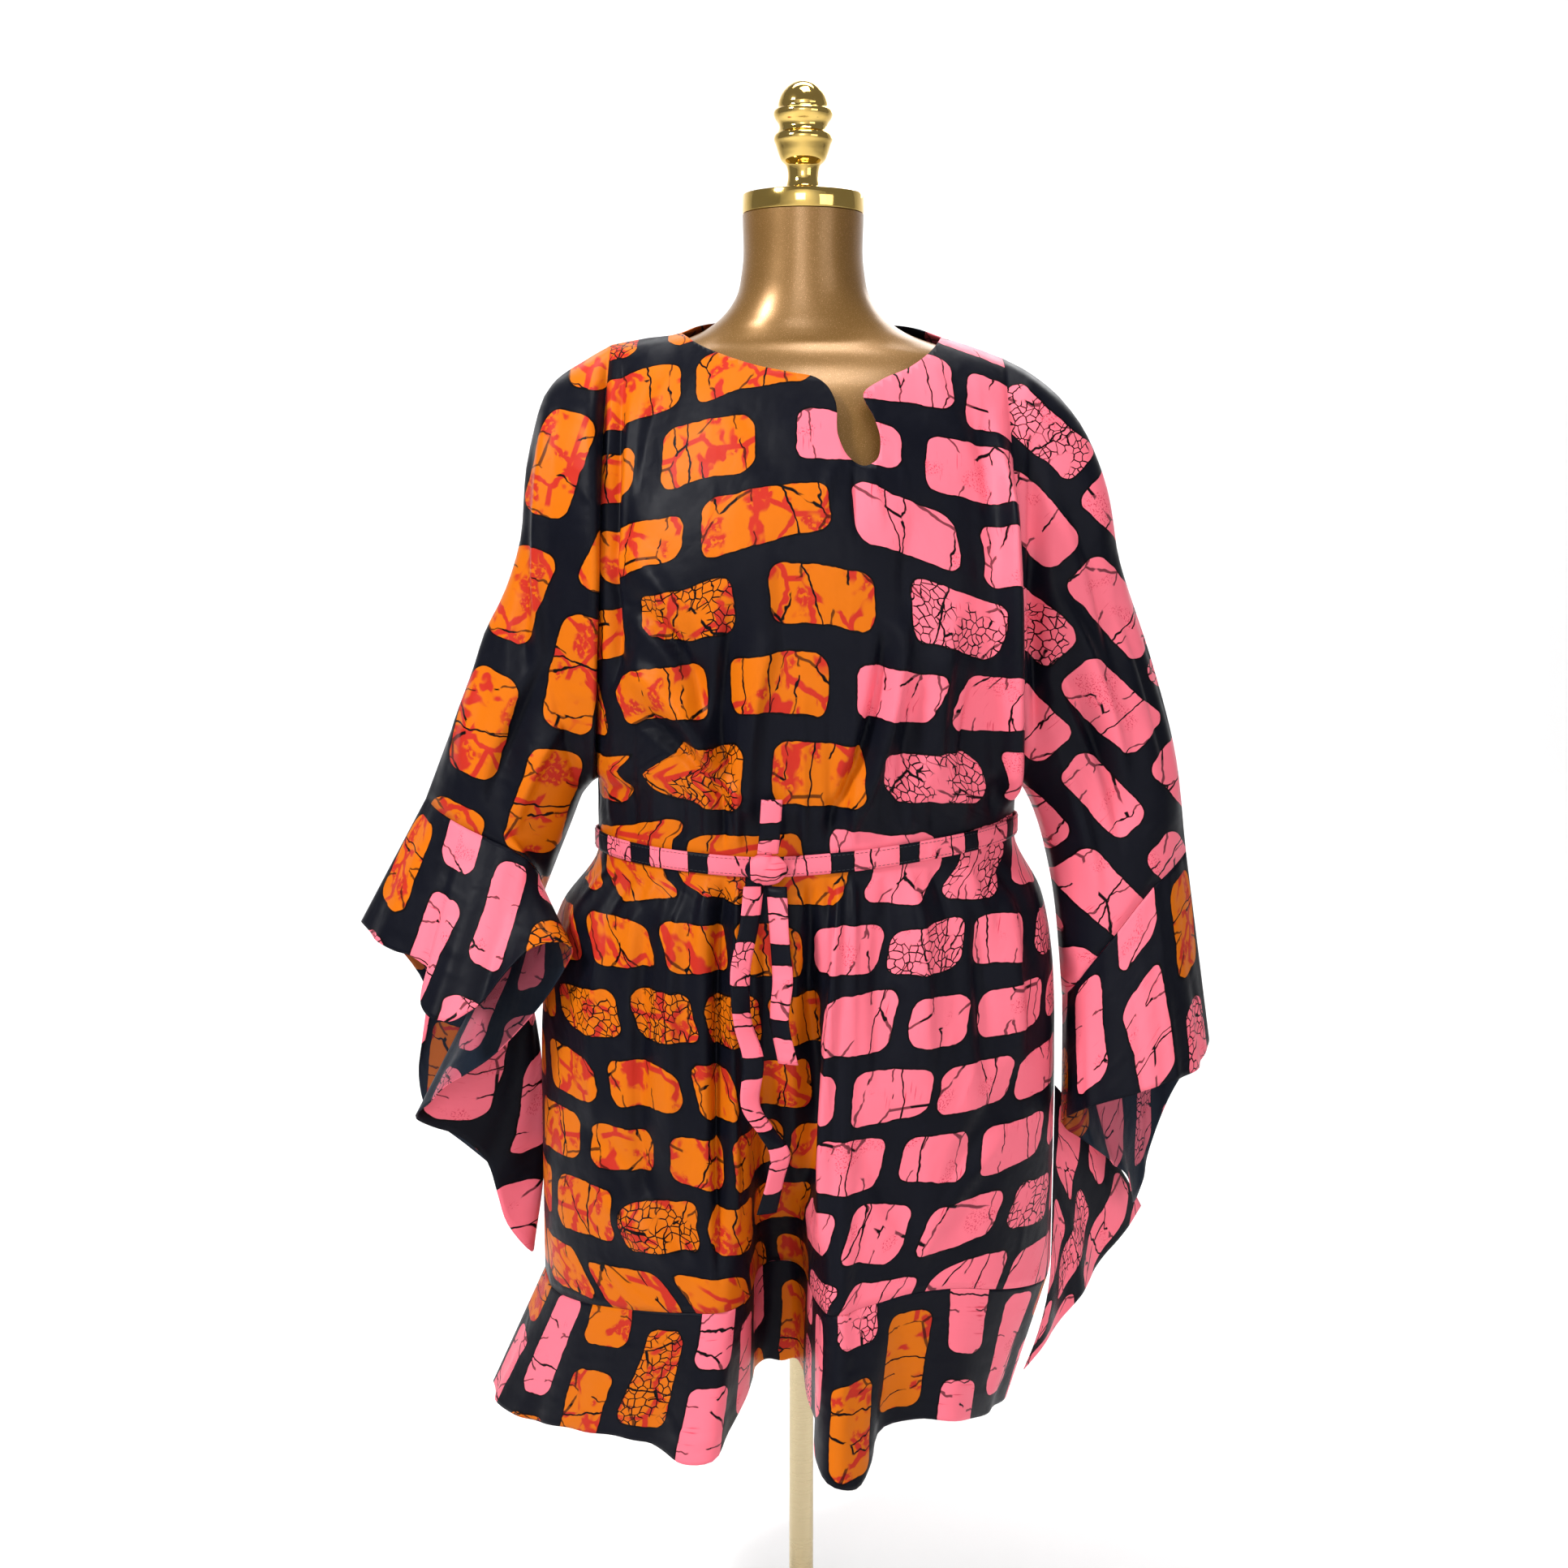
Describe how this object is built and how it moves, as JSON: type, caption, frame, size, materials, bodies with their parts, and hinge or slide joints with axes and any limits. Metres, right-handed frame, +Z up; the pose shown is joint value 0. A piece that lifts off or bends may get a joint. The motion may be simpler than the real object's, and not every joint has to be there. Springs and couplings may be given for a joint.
{
  "type": "short belted grand boubou tunic worn by a limbless dress form on a round-based stand",
  "caption": "Knee-length boubou tunic with flounced wing sleeves and a tie belt, on a dress form with a gold finial.",
  "frame": {"origin": "middle of the underside of the stand's base", "axes": "+Z up the form's neck, front of the garment towards -Y, wearer's left towards +X"},
  "size_m": [0.8455, 0.4184, 1.6235],
  "materials": {
    "print_orange": "satin print, orange blocks on navy",
    "print_pink": "satin print, pink blocks on navy",
    "form_skin": "satin bronze-brown skin",
    "gold_metal": "polished",
    "stand_metal": "satin"
  },
  "bodies": {
    "root": {"dress_form": "form_skin", "neck_cap": "gold_metal", "finial": "gold_metal", "stand_pole": "stand_metal", "stand_base": "stand_metal", "front_panel": "print_orange", "back_panel": "print_pink", "hem_flounce_front": "print_pink", "hem_flounce_back": "print_pink", "sleeve_flounce_right": "print_pink", "sleeve_flounce_left": "print_pink", "side_flounce": "print_pink", "tie_belt": "print_pink", "tie_knot": "print_pink", "tie_tail_long": "print_pink", "tie_tail_short": "print_pink", "tie_end_up": "print_pink"}
  },
  "joints": []
}
